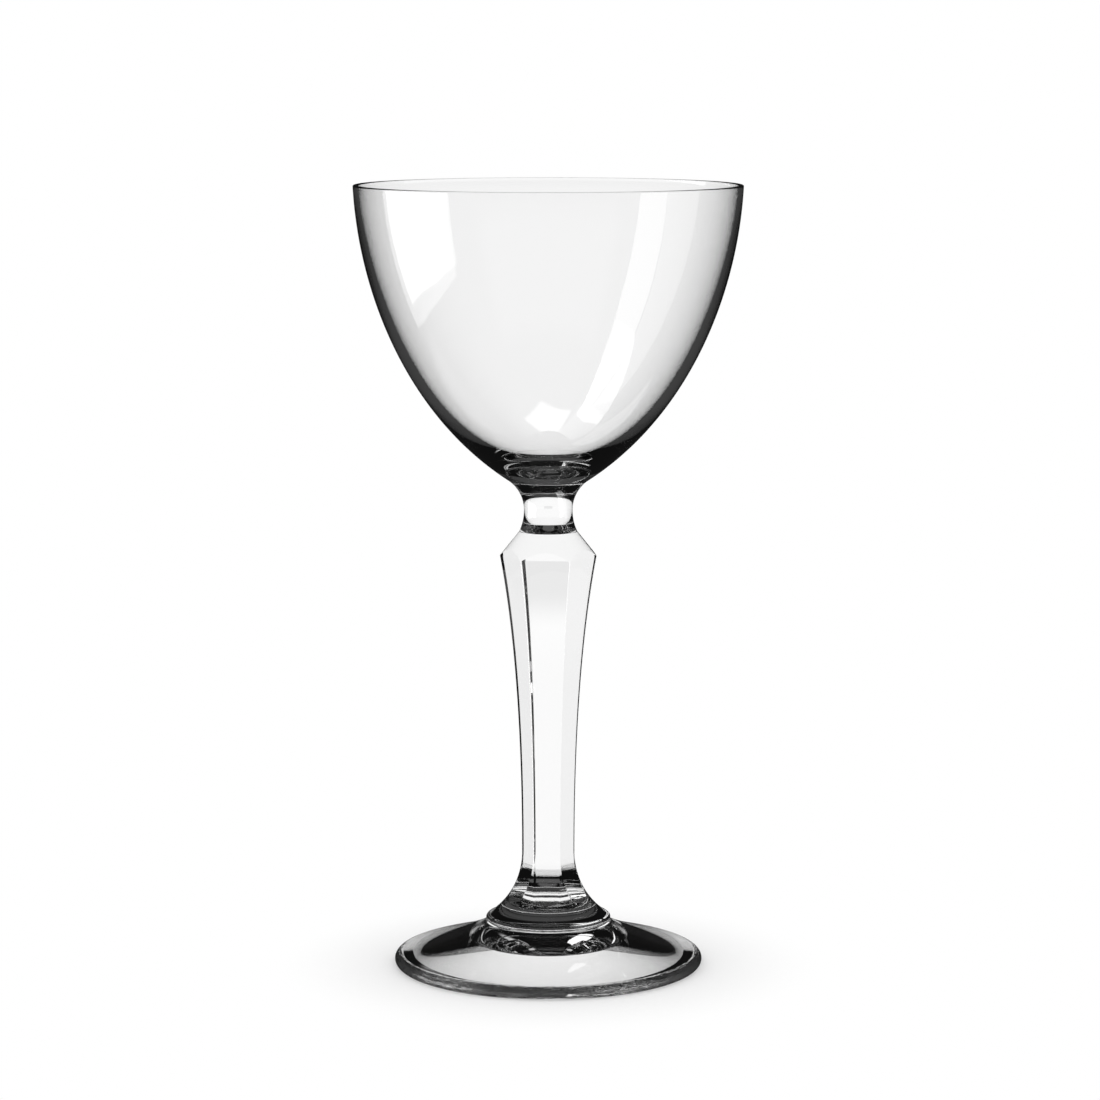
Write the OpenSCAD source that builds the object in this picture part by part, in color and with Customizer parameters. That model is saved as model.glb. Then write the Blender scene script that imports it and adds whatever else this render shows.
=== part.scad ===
// Stemmed cocktail glass: a deep tulip bowl on a spool-shaped neck, a six-sided
// pressed stem, a round collar and a low domed foot. All sizes are in millimetres.
// The foot stands on z = 0 and every piece is centred on the z axis.

/* [Foot] */
// Widest diameter of the foot
foot_d = 61.3; // [54:0.1:76]
// Height of the foot where the collar sits on it
foot_h = 8.7; // [7:0.1:11]
// Radius of the foot's rounded edge
foot_edge_r = 1.15; // [0.8:0.05:1.6]
// Slope of the foot's top close to its edge, in degrees
foot_slope = 15.4; // [12:0.1:17]
// Slope of the foot's top where it rises to the collar, in degrees
foot_rise = 42; // [36:1:50]
// Width of the flat ring that the foot stands on
foot_ring_w = 3.1; // [1.8:0.1:4]
// Slope of the hollow under the foot where it leaves the ring, in degrees
hollow_rise = 11; // [8:0.5:14]
// Slope of the hollow where it reaches the shallow dome in its middle, in degrees
hollow_steep = 16.7; // [13:0.1:20]
// Radius of the shallow dome in the middle of the hollow
dome_r = 14.6; // [11:0.1:17]
// Slope of the shallow dome at its edge, in degrees
dome_slope = 6.4; // [2:0.1:9]

/* [Collar] */
// Diameter of the collar over its bead
collar_d = 24.8; // [22:0.1:27]
// Height of the collar
collar_h = 3.3; // [2.6:0.1:4]
// Radius of the bead round the collar's edge
collar_bead_r = 0.65; // [0.5:0.05:0.9]

/* [Stem] */
// Height of the stem from the collar to the neck
stem_h = 75; // [62:1:96]
// Stem thickness over its corners at the slimmest place
stem_waist_d = 10.5; // [9:0.1:11.5]
// Stem thickness over its corners at the shoulder
stem_shoulder_d = 19.2; // [16:0.1:23]
// Height of the round shoulder above the last corners
stem_shoulder_h = 4.9; // [3.8:0.1:6]
// Drop from the neck to the place where the swelling stem leaves its straight line
stem_swell_drop = 28; // [22:1:34]
// Radius of the hollow curve that flares into the collar
stem_flare_r = 15.1; // [13.5:0.1:18]
// Number of flat faces round the stem
stem_faces = 6; // [6:2:8]
// Height over which the flat faces run out above the collar
stem_fade_h = 1.7; // [1.2:0.1:2.4]

/* [Neck] */
// Height of the neck from the stem to the bowl
neck_h = 10; // [8:0.1:12]
// Thickness of the neck at its waist
neck_waist_d = 9.56; // [8:0.1:11]
// Height of the waist above the stem
neck_waist_h = 4.2; // [3.6:0.1:5]
// Radius of the hollow curve below the waist
neck_low_r = 10; // [8:0.1:12]
// Radius of the hollow curve above the waist
neck_high_r = 7.2; // [7.2:0.1:10]

/* [Bowl] */
// Height of the bowl from the neck to the rim
bowl_h = 58; // [50:1:72]
// Outside diameter of the rim
rim_d = 76.1; // [66:0.1:84]
// Thickness of the glass at the rim
rim_wall = 1.05; // [0.8:0.05:1.5]
// Radius of the rim's two softened edges
lip_r = 0.25; // [0.15:0.05:0.35]
// Lean of the wall where it leaves the neck, in degrees from upright
bowl_base_lean = 57; // [50:1:62]
// Lean of the wall at the rim, in degrees from upright
bowl_rim_lean = 2.9; // [1:0.1:6]
// Length of the handle that draws the outside curve out of the neck
bowl_base_pull = 23.2; // [19:0.1:27]
// Length of the handle that draws the outside curve up to the rim
bowl_rim_pull = 21.6; // [17:0.1:25]
// Thickness of the glass from the neck to the bottom of the inside
bowl_base_wall = 2.95; // [2.6:0.05:5]
// Length of the handle that draws the inside curve out from its bottom
inside_base_pull = 20.8; // [18:0.1:24]
// Length of the handle that draws the inside curve up to the rim
inside_rim_pull = 21.4; // [17:0.1:24]

/* [Hidden] */

// Steps along each free curve and each short arc, and facets of the round solids
curve_steps = 24;
stem_steps = 14;
arc_steps = 10;
round_fn = 96;

// Levels, from the table up
collar_z = foot_h;
stem_z = collar_z + collar_h;
neck_z = stem_z + stem_h;
bowl_z = neck_z + neck_h;
rim_z = bowl_z + bowl_h;

// Foot: outer radius, and the middle of its rounded edge
foot_r = foot_d / 2;
foot_edge_mid_r = foot_r - foot_edge_r;
foot_ring_in_r = foot_edge_mid_r - foot_ring_w;

// Collar: radius of its flat seat, and the top of its bead
collar_r = collar_d / 2;
bead_mid_r = collar_r - collar_bead_r;
bead_top_z = collar_z + 2 * collar_bead_r;

// Neck radius at a height, as two hollow arcs that meet at the waist
neck_waist_r = neck_waist_d / 2;
neck_waist_z = neck_z + neck_waist_h;
function neck_curve(z) = z < neck_waist_z ? neck_low_r : neck_high_r;
function neck_at(z) = neck_waist_r + neck_curve(z)
    - sqrt(pow(neck_curve(z), 2) - pow(z - neck_waist_z, 2));
neck_base_r = neck_at(neck_z);
neck_top_r = neck_at(bowl_z);

// Stem: radii over the corners, and the heights where its outline changes
waist_r = stem_waist_d / 2;
shoulder_r = stem_shoulder_d / 2;
shoulder_z = neck_z - stem_shoulder_h;
swell_z = neck_z - stem_swell_drop;
fade_top_z = stem_z + stem_fade_h;

// The flare is one arc from the bead's top to an upright tangent on the stem
flare_out = bead_mid_r - waist_r;
flare_top_z = bead_top_z + sqrt(2 * stem_flare_r * flare_out - pow(flare_out, 2));
function flare_at(z) = waist_r + stem_flare_r - sqrt(pow(stem_flare_r, 2) - pow(flare_top_z - z, 2));

// Half the width of a flat face, as a share of the radius over the corners
face_half_share = sin(180 / stem_faces);
face_half_w = face_half_share * waist_r;

// The shoulder is a cone that runs on below the corners, clear of the shaft
shoulder_lean = (shoulder_r - neck_base_r) / stem_shoulder_h;
clear_r = collar_r;
clear_z = shoulder_z - (clear_r - shoulder_r) / shoulder_lean;

// Bowl: outside radius at the rim, and the level where its softened edges begin
rim_r = rim_d / 2;
lip_z = rim_z - lip_r;

// Points of a curve drawn by four handles, from the first to the last
function bend4(a, b, c, d, steps) = [for (i = [0:steps]) let (t = i / steps, s = 1 - t)
    pow(s, 3) * a + 3 * pow(s, 2) * t * b + 3 * s * pow(t, 2) * c + pow(t, 3) * d];

// Points of a curve drawn by three handles, from the first to the last
function bend3(a, b, c, steps) = [for (i = [0:steps]) let (t = i / steps, s = 1 - t)
    pow(s, 2) * a + 2 * s * t * b + pow(t, 2) * c];

// Points of a round arc about a middle, from one angle to another
function arc(mid, r, from, to, steps) = [for (i = [0:steps]) let (u = from + (to - from) * i / steps)
    mid + r * [cos(u), sin(u)]];

// Where two sloping lines cross, each given by a point and a slope in degrees
function cross_r(p, p_slope, q, q_slope) =
    (p[1] - q[1] + p[0] * tan(p_slope) - q[0] * tan(q_slope)) / (tan(p_slope) - tan(q_slope));

// Radius over the stem's corners, from the flare's top to the shoulder
function swell() = bend3([waist_r, flare_top_z], [waist_r, swell_z], [shoulder_r, shoulder_z], stem_steps);

// Distance of a flat face from the axis, where the corners have radius r
function face_at(r) = r * sqrt(1 - pow(face_half_share, 2));

// Distance of a flat face from the axis on the flare, where its width stays as at the waist
function flare_face_at(z) = sqrt(pow(flare_at(z), 2) - pow(face_half_w, 2));

// The bowl's outside, from the neck up to the lip
function bowl_outside() =
    let (a = [neck_top_r, bowl_z], d = [rim_r, lip_z])
    bend4(a, a + bowl_base_pull * [sin(bowl_base_lean), cos(bowl_base_lean)],
        d - bowl_rim_pull * [sin(bowl_rim_lean), cos(bowl_rim_lean)], d, curve_steps);

// The bowl's inside, from the lip down to its bottom on the axis
function bowl_inside() =
    let (a = [rim_r - rim_wall, lip_z], d = [0, bowl_z + bowl_base_wall])
    bend4(a, a - inside_rim_pull * [sin(bowl_rim_lean), cos(bowl_rim_lean)],
        d + [inside_base_pull, 0], d, curve_steps);

// The hollow under the foot, from the middle of its shallow dome out to the ring
function foot_hollow() =
    let (half_run = (foot_ring_in_r - dome_r) / 2,
        bend = [dome_r + half_run, half_run * tan(hollow_rise)],
        dome_edge = [dome_r, bend[1] + half_run * tan(hollow_steep)],
        dome_top_z = dome_edge[1] + dome_r / 2 * tan(dome_slope),
        side = bend3(dome_edge, bend, [foot_ring_in_r, 0], curve_steps))
    concat(bend3([0, dome_top_z], [dome_r / 2, dome_top_z], dome_edge, arc_steps),
        [for (i = [1:curve_steps]) side[i]]);

// Heights that cut a span into even steps
function levels(low, high, steps) = [for (i = [0:steps]) low + (high - low) * i / steps];

module turned(points) {
    rotate_extrude($fn = round_fn) polygon(points);
}

// Blown bowl with a heavy bottom and a cut rim whose edges are softened
module bowl() {
    out_lip = arc([rim_r - lip_r, lip_z], lip_r, 0, 90, arc_steps);
    in_lip = arc([rim_r - rim_wall + lip_r, lip_z], lip_r, 90, 180, arc_steps);
    color("aliceblue") turned(concat([[0, bowl_z]], bowl_outside(), [for (i = [1:arc_steps]) out_lip[i]],
        [for (i = [0:arc_steps - 1]) in_lip[i]], bowl_inside()));
}

// Spool-shaped neck between the bowl and the stem
module neck() {
    side = [for (z = levels(neck_z, bowl_z, curve_steps)) [neck_at(z), z]];
    color("lightcyan") turned(concat([[0, neck_z]], side, [[0, bowl_z]]));
}

// Round body of the stem: the flare, a stretch that stays clear of the shaft, the shoulder
module stem_body() {
    flare = [for (z = levels(stem_z, flare_top_z, stem_steps)) [flare_at(z), z]];
    turned(concat([[0, stem_z]], flare, [[clear_r, flare_top_z + face_half_w], [clear_r, clear_z],
        [neck_base_r, neck_z], [0, neck_z]]));
}

// Slab that leaves one pair of flat faces, drawn as an upright outline
module stem_slab() {
    flare = [for (z = levels(fade_top_z, flare_top_z, stem_steps)) [flare_face_at(z), z]];
    shaft = swell();
    sides = [for (i = [1:stem_steps]) [face_at(shaft[i][0]), shaft[i][1]]];
    half = concat([[flare_at(stem_z) + face_half_w, stem_z]], flare, sides, [[face_at(shoulder_r), neck_z]]);
    other_half = [for (i = [len(half) - 1:-1:0]) [-half[i][0], half[i][1]]];
    rotate([90, 0, 0]) linear_extrude(collar_d, center = true) polygon(concat(half, other_half));
}

// Pressed stem: the round body cut by its pairs of flat faces, one pair facing forward
module stem() {
    color("azure") intersection() {
        stem_body();
        intersection_for(i = [0:stem_faces / 2 - 1]) rotate(90 + i * 360 / stem_faces) stem_slab();
    }
}

// Round collar with a beaded edge, whose top carries on the stem's flare
module collar() {
    flare = [for (z = levels(bead_top_z, stem_z, arc_steps)) [flare_at(z), z]];
    bead = arc([bead_mid_r, collar_z + collar_bead_r], collar_bead_r, -90, 90, arc_steps);
    color("lightblue") turned(concat([[0, collar_z]], bead, [for (i = [1:arc_steps]) flare[i]],
        [[0, stem_z]]));
}

// Low domed foot with a rounded edge, which stands on a flat ring round a shallow hollow
module foot() {
    edge_mid = [foot_edge_mid_r, foot_edge_r];
    edge = arc(edge_mid, foot_edge_r, -90, 90 - foot_slope, arc_steps);
    edge_top = edge[arc_steps];
    seat = [collar_r, foot_h];
    bend_r = cross_r(seat, foot_rise, edge_top, foot_slope);
    bend = [bend_r, edge_top[1] + (edge_top[0] - bend_r) * tan(foot_slope)];
    top = bend3(edge_top, bend, seat, curve_steps);
    color("lightsteelblue") turned(concat(foot_hollow(), edge, [for (i = [1:curve_steps]) top[i]],
        [[0, foot_h]]));
}

bowl();
neck();
stem();
collar();
foot();
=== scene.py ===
"""Nick and nora glass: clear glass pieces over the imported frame, in a bright studio."""
import math

import bmesh
import bpy
from mathutils import Matrix, Vector


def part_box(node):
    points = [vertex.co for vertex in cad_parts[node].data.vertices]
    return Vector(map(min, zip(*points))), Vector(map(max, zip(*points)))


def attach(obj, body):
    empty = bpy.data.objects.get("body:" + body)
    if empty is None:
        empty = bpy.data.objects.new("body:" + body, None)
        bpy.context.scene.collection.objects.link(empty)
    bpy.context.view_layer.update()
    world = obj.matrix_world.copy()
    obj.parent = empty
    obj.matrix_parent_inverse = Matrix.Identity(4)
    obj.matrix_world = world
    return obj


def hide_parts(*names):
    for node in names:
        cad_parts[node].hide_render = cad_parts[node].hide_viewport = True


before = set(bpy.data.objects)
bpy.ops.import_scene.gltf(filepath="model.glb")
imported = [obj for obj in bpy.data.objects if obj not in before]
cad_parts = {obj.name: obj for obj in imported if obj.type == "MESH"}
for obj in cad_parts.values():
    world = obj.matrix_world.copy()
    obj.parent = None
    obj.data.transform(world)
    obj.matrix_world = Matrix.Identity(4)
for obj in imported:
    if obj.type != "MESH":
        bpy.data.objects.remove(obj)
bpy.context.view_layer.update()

MM = 0.001

# Levels of the welds between the pieces, and the widest radii, from the frame
COLLAR_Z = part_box("collar")[0].z
STEM_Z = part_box("stem")[0].z
NECK_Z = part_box("neck")[0].z
BOWL_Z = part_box("bowl")[0].z
RIM_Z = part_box("bowl")[1].z
FOOT_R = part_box("foot")[1].x
COLLAR_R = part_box("collar")[1].x
RIM_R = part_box("bowl")[1].x

# Foot
FOOT_EDGE_R = 1.15 * MM
FOOT_SLOPE = math.radians(15.4)
FOOT_RISE = math.radians(42)
FOOT_RING_W = 3.1 * MM
HOLLOW_RISE = math.radians(11)
HOLLOW_STEEP = math.radians(16.7)
DOME_R = 14.6 * MM
DOME_LEAN = math.radians(6.4)

# Collar
BEAD_R = 0.65 * MM

# Stem
FACES = 6
WAIST_R = 5.25 * MM
SHOULDER_R = 9.6 * MM
SHOULDER_H = 4.9 * MM
SWELL_DROP = 28.0 * MM
FLARE_R = 15.1 * MM
FADE_H = 1.7 * MM
CORNER_STRIP = math.radians(0.25)

# Neck
NECK_WAIST_R = 4.78 * MM
NECK_WAIST_H = 4.2 * MM
NECK_LOW_R = 10.0 * MM
NECK_HIGH_R = 7.2 * MM

# Bowl
RIM_WALL = 1.05 * MM
LIP_R = 0.25 * MM
BASE_LEAN = math.radians(57)
RIM_LEAN = math.radians(2.9)
BASE_PULL = 23.2 * MM
RIM_PULL = 21.6 * MM
BASE_WALL = 2.95 * MM
INSIDE_BASE_PULL = 20.8 * MM
INSIDE_RIM_PULL = 21.4 * MM

# Values that follow from these
BEAD_MID_R = COLLAR_R - BEAD_R
BEAD_TOP = COLLAR_Z + 2 * BEAD_R
FLARE_OUT = BEAD_MID_R - WAIST_R
FLARE_TOP = BEAD_TOP + math.sqrt(2 * FLARE_R * FLARE_OUT - FLARE_OUT**2)
SHOULDER_Z = NECK_Z - SHOULDER_H
SWELL_Z = NECK_Z - SWELL_DROP
FACE_HALF = WAIST_R * math.sin(math.pi / FACES)

# Mesh fineness, the radius below which a ring is a point, and the angle from which an edge is
# drawn as a crease
ROUND = 384
STRIP = 16
CURVE = 96
ARC = 24
ON_AXIS = 1e-9
CREASE = math.radians(10)

# Order of the two materials on a piece
GLASS_SLOT = 0
WELD_SLOT = 1

# Surface of the glass: long faint waves, and a ripple drawn out round the foot's edge and the
# collar's bead. The last four are where the ripple starts and where it is full
IOR = 1.5
WAVE_LONG = 12 * MM
WAVE_HIGH = 0.004 * MM
WAVE_DETAIL = 1.0
RIPPLE_LONG = 2.4 * MM
RIPPLE_HIGH = 0.4 * MM
EDGE_RIPPLE = 0.15 * MM
BEAD_RIPPLE = 0.03 * MM
EDGE_OUT = (FOOT_R - 1.5 * FOOT_EDGE_R, FOOT_R - FOOT_EDGE_R)
EDGE_DOWN = (COLLAR_Z, 2 * FOOT_EDGE_R)
BEAD_OUT = (BEAD_MID_R, COLLAR_R)
BEAD_NEAR = (1.2 * BEAD_R, 0)

# Camera, solved from the rim and foot ellipses of a glass 155 mm tall. It stands round to one side
# of the stem's front face by CAMERA_TURN, and the studio turns with it
CAMERA_BACK = 734.8 * MM
CAMERA_UP = 183.6 * MM
CAMERA_SIDE = 0.34 * MM
CAMERA_TURN = math.radians(3.9)
CAMERA_PITCH = math.radians(7.778)
LENS = 123.08
SENSOR = 36.0
CLIP_NEAR = 0.05
CLIP_FAR = 50.0

# Floor: half its width, its paint, and the distances from the middle at which it starts to turn
# white and is all white
FLOOR_HALF = 3.0
FLOOR_PAINT = 0.9
FLOOR_FADE = (0.02, 0.055)

# Bright panels that the outside of the glass reflects, as (corners, strength, softness). A corner
# is a bearing clockwise from behind the glass and a height above the horizon, in degrees, and the
# corners run counterclockwise where the bearing runs to the right. First the window on the left
# with the soft glow below it, then the tall strip on the right with its slanted lower end, its
# faint foot and its dimmer inner side
PANELS = [
    ([(-119.8, 2), (-119.6, -24.2), (-99.9, -26.2), (-72.3, -25.2), (-71.2, -20), (-68.5, 2)],
     2.4, 0.4),
    ([(-118, 2), (-117.4, -26.8), (-108, -28.7), (-96, -30), (-78, -30), (-68, -28.5), (-66, 2)],
     1.8, 0.4),
    ([(106, 2), (107.5, -48), (112, -71), (120, -71), (128, -50), (128, -35), (123.5, 2)],
     2.6, 0.4),
    ([(106, -40), (79, -63.5), (98, -70.5), (118, -72), (126, -58), (126, -40)], 2.6, 0.6),
    ([(82, -61), (75.5, -66.5), (78, -84), (122, -84), (124, -68)], 1.0, 1.0),
    ([(79.1, 2), (89.5, -56), (106, -64), (106, 2)], 1.1, 0.6),
]
# Panels that light meets after a reflection inside the glass, in the same form: two behind the
# glass, two in front of it, and two faint ones below
INSIDE_PANELS = [
    ([(-44, 45), (-44, 22), (-17, 22), (-17, 45)], 1.3, 1.0),
    ([(30, 45), (30, 20), (60, 20), (60, 45)], 0.6, 4.0),
    ([(135, 45), (135, 10), (200, 10), (200, 45)], 0.5, 5.0),
    ([(-200, 45), (-200, 10), (-135, 10), (-135, 45)], 0.5, 5.0),
    ([(-48, -2), (-48, -28), (-25, -62), (25, -62), (48, -28), (48, -2)], 0.055, 2.0),
    ([(-200, -70), (-200, -95), (200, -95), (200, -70)], 0.09, 3.0),
]
# Bright card below the front of the glass: middle, and half width across two slanted axes, in
# degrees from straight down
CARD_MID = (-0.2, -10.0)
CARD_AXES = (((-0.34, 0.94), 6.6), ((0.75, 0.66), 8.6))
CARD_SOFT = 1.0
CARD_LIGHT = 3.0

# Level of the dark studio behind the glass, in front of it, and as seen from inside the glass, and
# the bearings and heights at which the front starts and is full
DARK_BACK = 0.012
DARK_FRONT = 0.95
DARK_INSIDE = 0.004
FRONT_SIDE = (60, 130)
FRONT_TOP = (4, 1)

# Faint grey veil in the backdrop just above the horizon, which only the leaning faces of the
# stem bend the view up to: the heights and bearings at which it starts and is full, and the
# share of light lost in it
VEIL_LOW = (-3.2, -0.7)
VEIL_TOP = (3.8, 2.8)
VEIL_SIDE = (7.0, 6.0)
VEIL_LOSS = 0.165

# Bounces that the glass needs
BOUNCES = 24
BOUNCES_IN_ALL = 32


def bezier(points, steps):
    """Points along a Bezier curve, ends included."""
    n = len(points) - 1
    out = []
    for i in range(steps + 1):
        t = i / steps
        w = [math.comb(n, k) * (1 - t) ** (n - k) * t**k for k in range(n + 1)]
        out.append(tuple(sum(w[k] * points[k][a] for k in range(n + 1)) for a in (0, 1)))
    return out


def arc(mid, r, start, end, steps):
    """Points of a round arc, ends included, with angles from the outward direction."""
    out = []
    for i in range(steps + 1):
        u = start + (end - start) * i / steps
        out.append((mid[0] + r * math.cos(u), mid[1] + r * math.sin(u)))
    return out


def levels(low, high, steps):
    """Evenly spaced values, ends included."""
    return [low + (high - low) * i / steps for i in range(steps + 1)]


def flare_at(z):
    """Radius of the flare, an arc that the stem's corners run into at FLARE_TOP."""
    return WAIST_R + FLARE_R - math.sqrt(FLARE_R**2 - (FLARE_TOP - z) ** 2)


def neck_at(z):
    """Radius of the neck, two arcs that meet at its waist."""
    r = NECK_LOW_R if z < NECK_Z + NECK_WAIST_H else NECK_HIGH_R
    return NECK_WAIST_R + r - math.sqrt(r**2 - (z - NECK_Z - NECK_WAIST_H) ** 2)


def bowl_side():
    """Outline of the bowl from the weld's edge over the rim to the bottom of the inside."""
    lip = LIP_R
    a, d = Vector((neck_at(BOWL_Z), BOWL_Z)), Vector((RIM_R, RIM_Z - lip))
    b = a + BASE_PULL * Vector((math.sin(BASE_LEAN), math.cos(BASE_LEAN)))
    c = d - RIM_PULL * Vector((math.sin(RIM_LEAN), math.cos(RIM_LEAN)))
    outside = bezier([a, b, c, d], CURVE)
    over = arc((RIM_R - lip, RIM_Z - lip), lip, 0, math.pi / 2, ARC)
    over += arc((RIM_R - RIM_WALL + lip, RIM_Z - lip), lip, math.pi / 2, math.pi, ARC)
    e, h = Vector((RIM_R - RIM_WALL, RIM_Z - lip)), Vector((0, BOWL_Z + BASE_WALL))
    f = e - INSIDE_RIM_PULL * Vector((math.sin(RIM_LEAN), math.cos(RIM_LEAN)))
    g = h + Vector((INSIDE_BASE_PULL, 0))
    inside = bezier([e, f, g, h], CURVE)
    return outside + over[1:-1] + inside


def neck_side():
    return [(neck_at(z), z) for z in levels(NECK_Z, BOWL_Z, CURVE)]


def collar_side():
    bead = arc((BEAD_MID_R, COLLAR_Z + BEAD_R), BEAD_R, -math.pi / 2, math.pi / 2, ARC)
    flare = [(flare_at(z), z) for z in levels(BEAD_TOP, STEM_Z, ARC)]
    return bead + flare[1:]


def foot_side():
    """Outline of the foot from the middle of the hollow, over the edge, to the collar's seat."""
    edge_mid = FOOT_R - FOOT_EDGE_R
    ring = edge_mid - FOOT_RING_W
    mid = (ring + DOME_R) / 2
    half = (ring - DOME_R) / 2
    mid_z = half * math.tan(HOLLOW_RISE)
    dome_z = mid_z + half * math.tan(HOLLOW_STEEP)
    hollow_z = dome_z + DOME_R / 2 * math.tan(DOME_LEAN)
    hollow = bezier([(0, hollow_z), (DOME_R / 2, hollow_z), (DOME_R, dome_z)], ARC)
    hollow += bezier([(DOME_R, dome_z), (mid, mid_z), (ring, 0)], CURVE)[1:]
    edge = arc((edge_mid, FOOT_EDGE_R), FOOT_EDGE_R, -math.pi / 2, math.pi / 2 - FOOT_SLOPE, ARC)
    top_r, top_z = edge[-1]
    rise, slope = math.tan(FOOT_RISE), math.tan(FOOT_SLOPE)
    bend_r = (COLLAR_Z - top_z + COLLAR_R * rise - top_r * slope) / (rise - slope)
    bend = (bend_r, top_z + (top_r - bend_r) * slope)
    top = bezier([edge[-1], bend, (COLLAR_R, COLLAR_Z)], CURVE)
    return hollow + edge + top[1:]


def build(name, rings, low_weld, high_weld):
    """A closed mesh from rings of points. Ends on the axis close in a point, and a weld end
    gets a flat cap in the second material, which light passes straight through."""
    mesh = bpy.data.meshes.new(name)
    bm = bmesh.new()
    loops = []
    for ring in rings:
        if max(math.hypot(p[0], p[1]) for p in ring) < ON_AXIS:
            loops.append([bm.verts.new((0, 0, ring[0][2]))])
        else:
            loops.append([bm.verts.new(p) for p in ring])
    for lower, upper in zip(loops, loops[1:]):
        for i in range(ROUND):
            j = (i + 1) % ROUND
            if len(lower) == 1:
                bm.faces.new((lower[0], upper[j], upper[i]))
            elif len(upper) == 1:
                bm.faces.new((lower[i], lower[j], upper[0]))
            else:
                bm.faces.new((lower[i], lower[j], upper[j], upper[i]))
    for loop, weld, down in ((loops[0], low_weld, True), (loops[-1], high_weld, False)):
        if weld:
            mid = bm.verts.new((0, 0, loop[0].co.z))
            for i in range(ROUND):
                a, b = loop[i], loop[(i + 1) % ROUND]
                face = bm.faces.new((mid, b, a) if down else (mid, a, b))
                face.material_index = WELD_SLOT
    for face in bm.faces:
        face.smooth = face.material_index == GLASS_SLOT
    for edge in bm.edges:
        edge.smooth = edge.calc_face_angle() < CREASE
    bm.to_mesh(mesh)
    bm.free()
    piece = bpy.data.objects.new(name, mesh)
    bpy.context.scene.collection.objects.link(piece)
    return piece


def turned(name, side, low_weld=False, high_weld=False):
    """A round piece from the outline of one side."""
    angles = [2 * math.pi * i / ROUND for i in range(ROUND)]
    turns = [(math.cos(u), math.sin(u)) for u in angles]
    rings = [[(r * c, r * s, z) for c, s in turns] for r, z in side]
    return build(name, rings, low_weld, high_weld)


def faced_ring(face, limit, z):
    """One ring of the stem: flats at a distance from the axis, between strips of a round limit."""
    step = math.pi / FACES
    half = min(max(math.acos(min(face / limit, 1.0)), CORNER_STRIP), step - CORNER_STRIP)
    flats = ROUND // FACES - STRIP
    ring = []
    for k in range(FACES):
        mid = 2 * step * k - math.pi / 2
        turns = [half * (2 * i / flats - 1) for i in range(flats)]
        turns += [half + 2 * (step - half) * i / STRIP for i in range(STRIP)]
        for v in turns:
            r = min(face / math.cos(min(v, half)), limit)
            ring.append((r * math.cos(mid + v), r * math.sin(mid + v), z))
    return ring


def stem_rings():
    """The stem from its round base through the faced flare and shaft to the round shoulder."""
    flat = math.cos(math.pi / FACES)
    rings = []
    fade_top = STEM_Z + FADE_H
    first = flare_at(STEM_Z) + FACE_HALF
    fade_face = math.sqrt(flare_at(fade_top) ** 2 - FACE_HALF**2)
    for z in levels(STEM_Z, FLARE_TOP, 2 * ARC):
        if z < fade_top:
            face = first + (fade_face - first) * (z - STEM_Z) / FADE_H
        else:
            face = math.sqrt(flare_at(z) ** 2 - FACE_HALF**2)
        rings.append(faced_ring(face, flare_at(z), z))
    shaft = bezier([(WAIST_R, FLARE_TOP), (WAIST_R, SWELL_Z), (SHOULDER_R, SHOULDER_Z)], CURVE)
    lean = (SHOULDER_R - neck_at(NECK_Z)) / SHOULDER_H
    for r, z in shaft[1:]:
        rings.append(faced_ring(r * flat, SHOULDER_R + (SHOULDER_Z - z) * lean, z))
    face = SHOULDER_R * flat
    for turn in levels(math.pi / FACES, 0, ARC)[1:]:
        limit = face / math.cos(turn)
        arch_z = SHOULDER_Z + (SHOULDER_R - limit) / lean
        rings.append(faced_ring(face, limit, arch_z))
    for z in levels(arch_z, NECK_Z, ARC)[1:]:
        rings.append(faced_ring(face, SHOULDER_R - (z - SHOULDER_Z) * lean, z))
    return rings


class Nodes:
    """Short calls for building a shader's arithmetic."""

    def __init__(self, tree):
        self.tree = tree

    def new(self, kind, **sets):
        node = self.tree.nodes.new(kind)
        for key, value in sets.items():
            setattr(node, key, value)
        return node

    def link(self, a, b):
        self.tree.links.new(a, b)

    def math(self, op, *args):
        node = self.new("ShaderNodeMath", operation=op)
        for i, arg in enumerate(args):
            if isinstance(arg, (int, float)):
                node.inputs[i].default_value = arg
            else:
                self.link(arg, node.inputs[i])
        return node.outputs[0]

    def plus(self, total, *rest):
        for part in rest:
            total = self.math("ADD", total, part)
        return total

    def times(self, product, *rest):
        for factor in rest:
            product = self.math("MULTIPLY", product, factor)
        return product

    def mix(self, share, a, b):
        """a where share is 0 and b where it is 1."""
        return self.plus(self.times(share, self.math("SUBTRACT", b, a)), a)

    def step(self, value, start, end):
        """0 at start and 1 at end, smooth between. start may be above end."""
        node = self.new("ShaderNodeMapRange", interpolation_type="SMOOTHSTEP")
        self.link(value, node.inputs["Value"])
        node.inputs["From Min"].default_value = min(start, end)
        node.inputs["From Max"].default_value = max(start, end)
        node.inputs["To Min"].default_value = 0.0 if start < end else 1.0
        node.inputs["To Max"].default_value = 1.0 if start < end else 0.0
        return node.outputs["Result"]


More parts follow.
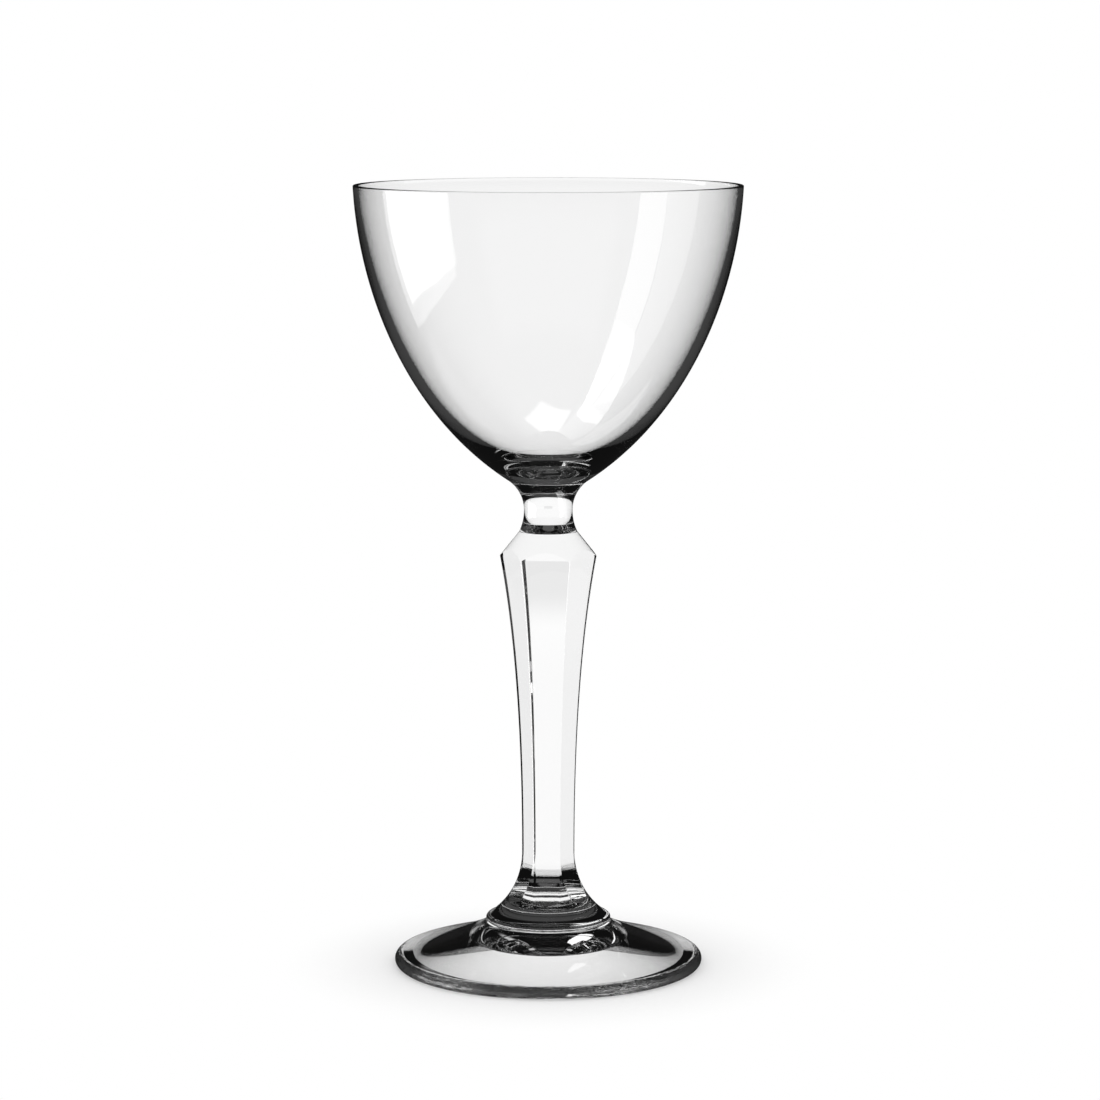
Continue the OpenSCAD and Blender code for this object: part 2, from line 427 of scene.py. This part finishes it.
def glass():
    """Clear glass with the faint waviness of a hot-worked surface, and the fine drawn ripple that
    pressing leaves on the foot's edge and the collar's bead."""
    mat = bpy.data.materials.new("clear_glass")
    mat.use_nodes = True
    n = Nodes(mat.node_tree)
    shader = mat.node_tree.nodes["Principled BSDF"]
    shader.inputs["Base Color"].default_value = (1.0, 1.0, 1.0, 1.0)
    shader.inputs["Roughness"].default_value = 0.0
    shader.inputs["IOR"].default_value = IOR
    shader.inputs["Transmission Weight"].default_value = 1.0
    coord = n.new("ShaderNodeTexCoord")
    split = n.new("ShaderNodeSeparateXYZ")
    n.link(coord.outputs["Object"], split.inputs[0])
    x, y, z = split.outputs
    radius = n.math("SQRT", n.plus(n.times(x, x), n.times(y, y)))
    turn = n.math("ARCTAN2", x, n.times(y, -1.0))
    drawn = n.new("ShaderNodeCombineXYZ")
    n.link(n.times(turn, FOOT_R / RIPPLE_LONG), drawn.inputs[0])
    n.link(n.math("DIVIDE", radius, RIPPLE_HIGH), drawn.inputs[1])
    n.link(n.math("DIVIDE", z, RIPPLE_HIGH), drawn.inputs[2])
    ripple = n.new("ShaderNodeTexNoise")
    ripple.inputs["Scale"].default_value = 1.0
    n.link(drawn.outputs[0], ripple.inputs["Vector"])
    edge = n.times(n.step(radius, *EDGE_OUT), n.step(z, *EDGE_DOWN))
    from_bead = n.math("ABSOLUTE", n.math("SUBTRACT", z, COLLAR_Z + BEAD_R))
    bead = n.times(n.step(radius, *BEAD_OUT), n.step(from_bead, *BEAD_NEAR))
    rough = n.plus(n.times(edge, EDGE_RIPPLE), n.times(bead, BEAD_RIPPLE))
    wave = n.new("ShaderNodeTexNoise")
    wave.inputs["Scale"].default_value = 1 / WAVE_LONG
    wave.inputs["Detail"].default_value = WAVE_DETAIL
    n.link(coord.outputs["Object"], wave.inputs["Vector"])
    height = n.plus(n.times(wave.outputs[0], WAVE_HIGH), n.times(rough, ripple.outputs[0]))
    bump = n.new("ShaderNodeBump")
    bump.inputs["Distance"].default_value = 1.0
    n.link(height, bump.inputs["Height"])
    n.link(bump.outputs["Normal"], shader.inputs["Normal"])
    return mat


def weld():
    """The unseen face between two gathers that are fused: light goes straight through."""
    mat = bpy.data.materials.new("fused_weld")
    mat.use_nodes = True
    n = Nodes(mat.node_tree)
    nodes = mat.node_tree.nodes
    nodes.remove(nodes["Principled BSDF"])
    clear = n.new("ShaderNodeBsdfTransparent")
    n.link(clear.outputs[0], nodes["Material Output"].inputs["Surface"])
    return mat


def dress(piece, node, mats):
    """Gives a piece its materials, glass first, and puts it in place of its node."""
    for mat in mats:
        piece.data.materials.append(mat)
    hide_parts(node)
    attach(piece, "root")


MATS = (glass(), weld())
dress(turned("glass_bowl", bowl_side(), low_weld=True), "bowl", MATS)
dress(turned("glass_neck", neck_side(), True, True), "neck", MATS)
dress(build("glass_stem", stem_rings(), True, True), "stem", MATS)
dress(turned("glass_collar", collar_side(), True, True), "collar", MATS)
dress(turned("glass_foot", foot_side(), high_weld=True), "foot", MATS)


def panels(n, bearing, height, shapes):
    """The light of a list of panels, each the overlap of the soft sides of its edges."""
    total = 0.0
    for corners, strength, soft in shapes:
        light = strength
        for (b0, h0), (b1, h1) in zip(corners, corners[1:] + corners[:1]):
            long = math.hypot(b1 - b0, h1 - h0)
            east, north = (h0 - h1) / long, (b1 - b0) / long
            off = n.plus(n.times(bearing, east), n.times(height, north))
            edge = b0 * east + h0 * north
            light = n.times(n.step(off, edge - soft, edge + soft), light)
        total = n.plus(light, total)
    return total


def card(n, bearing, height):
    """The light of the card below the front of the glass."""
    turn = n.math("RADIANS", bearing)
    lean = n.plus(height, 90.0)
    east = n.math("SUBTRACT", n.times(lean, n.math("SINE", turn)), CARD_MID[0])
    north = n.math("SUBTRACT", n.times(lean, n.math("COSINE", turn)), CARD_MID[1])
    light = n.math("LESS_THAN", height, 0.0)
    for (ax, ay), half in CARD_AXES:
        off = n.math("ABSOLUTE", n.plus(n.times(east, ax), n.times(north, ay)))
        light = n.times(light, n.step(off, half + CARD_SOFT, half - CARD_SOFT))
    return n.times(light, CARD_LIGHT)


def studio():
    """White backdrop to the camera and through the glass, and a dark studio with bright panels
    for what the glass reflects."""
    world = bpy.data.worlds.new("studio")
    bpy.context.scene.world = world
    world.use_nodes = True
    n = Nodes(world.node_tree)
    coord = n.new("ShaderNodeTexCoord")
    split = n.new("ShaderNodeSeparateXYZ")
    n.link(coord.outputs["Generated"], split.inputs[0])
    x, y, z = split.outputs
    bearing = n.plus(n.math("DEGREES", n.math("ARCTAN2", x, y)), math.degrees(CAMERA_TURN))
    aside = n.math("ABSOLUTE", bearing)
    height = n.math("DEGREES", n.math("ARCSINE", z))
    path = n.new("ShaderNodeLightPath")
    # 1 for light that comes out of the glass, and 1 once it has met a reflection
    inside = path.outputs["Is Transmission Ray"]
    reflected = n.math("GREATER_THAN", path.outputs["Glossy Depth"], 0.5)

    front = n.times(n.step(aside, *FRONT_SIDE), n.step(height, *FRONT_TOP))
    outer = n.plus(n.mix(front, DARK_BACK, DARK_FRONT), panels(n, bearing, height, PANELS),
                   card(n, bearing, height))
    inner = n.plus(panels(n, bearing, height, INSIDE_PANELS), DARK_INSIDE)
    lit = n.mix(inside, outer, inner)
    veil = n.times(n.step(height, *VEIL_LOW), n.step(height, *VEIL_TOP),
                   n.step(aside, *VEIL_SIDE), inside)
    through = n.math("SUBTRACT", 1.0, n.times(veil, VEIL_LOSS))
    back = world.node_tree.nodes["Background"]
    back.inputs["Color"].default_value = (1.0, 1.0, 1.0, 1.0)
    n.link(n.mix(reflected, through, lit), back.inputs["Strength"])


def floor():
    """Pale floor that keeps the shadow and runs out into white."""
    mesh = bpy.data.meshes.new("floor")
    corners = [(x * FLOOR_HALF, y * FLOOR_HALF, 0) for x, y in ((-1, -1), (1, -1), (1, 1), (-1, 1))]
    mesh.from_pydata(corners, [], [(0, 1, 2, 3)])
    plane = bpy.data.objects.new("floor", mesh)
    bpy.context.scene.collection.objects.link(plane)
    plane.visible_glossy = False
    plane.visible_transmission = False
    mat = bpy.data.materials.new("floor")
    mat.use_nodes = True
    n = Nodes(mat.node_tree)
    nodes = mat.node_tree.nodes
    nodes.remove(nodes["Principled BSDF"])
    matt = n.new("ShaderNodeBsdfDiffuse")
    matt.inputs["Color"].default_value = (FLOOR_PAINT, FLOOR_PAINT, FLOOR_PAINT, 1.0)
    white = n.new("ShaderNodeEmission")
    path = n.new("ShaderNodeLightPath")
    coord = n.new("ShaderNodeTexCoord")
    far = n.new("ShaderNodeVectorMath", operation="LENGTH")
    n.link(coord.outputs["Object"], far.inputs[0])
    share = n.times(n.step(far.outputs["Value"], *FLOOR_FADE), path.outputs["Is Camera Ray"])
    mix = n.new("ShaderNodeMixShader")
    n.link(share, mix.inputs["Fac"])
    n.link(matt.outputs[0], mix.inputs[1])
    n.link(white.outputs[0], mix.inputs[2])
    n.link(mix.outputs[0], nodes["Material Output"].inputs["Surface"])
    mesh.materials.append(mat)


def camera():
    """The camera at the photo's distance, height and side."""
    data = bpy.data.cameras.new("camera")
    data.lens = LENS
    data.sensor_width = SENSOR
    data.clip_start = CLIP_NEAR
    data.clip_end = CLIP_FAR
    cam = bpy.data.objects.new("camera", data)
    turn = Matrix.Rotation(CAMERA_TURN, 3, "Z")
    cam.location = turn @ Vector((CAMERA_SIDE, -CAMERA_BACK, CAMERA_UP))
    cam.rotation_euler = (math.pi / 2 - CAMERA_PITCH, 0, CAMERA_TURN)
    bpy.context.scene.collection.objects.link(cam)
    bpy.context.scene.camera = cam


studio()
floor()
camera()

scene = bpy.context.scene
scene.view_settings.view_transform = "Standard"
scene.cycles.max_bounces = BOUNCES_IN_ALL
scene.cycles.glossy_bounces = BOUNCES
scene.cycles.transmission_bounces = BOUNCES
scene.cycles.transparent_max_bounces = BOUNCES
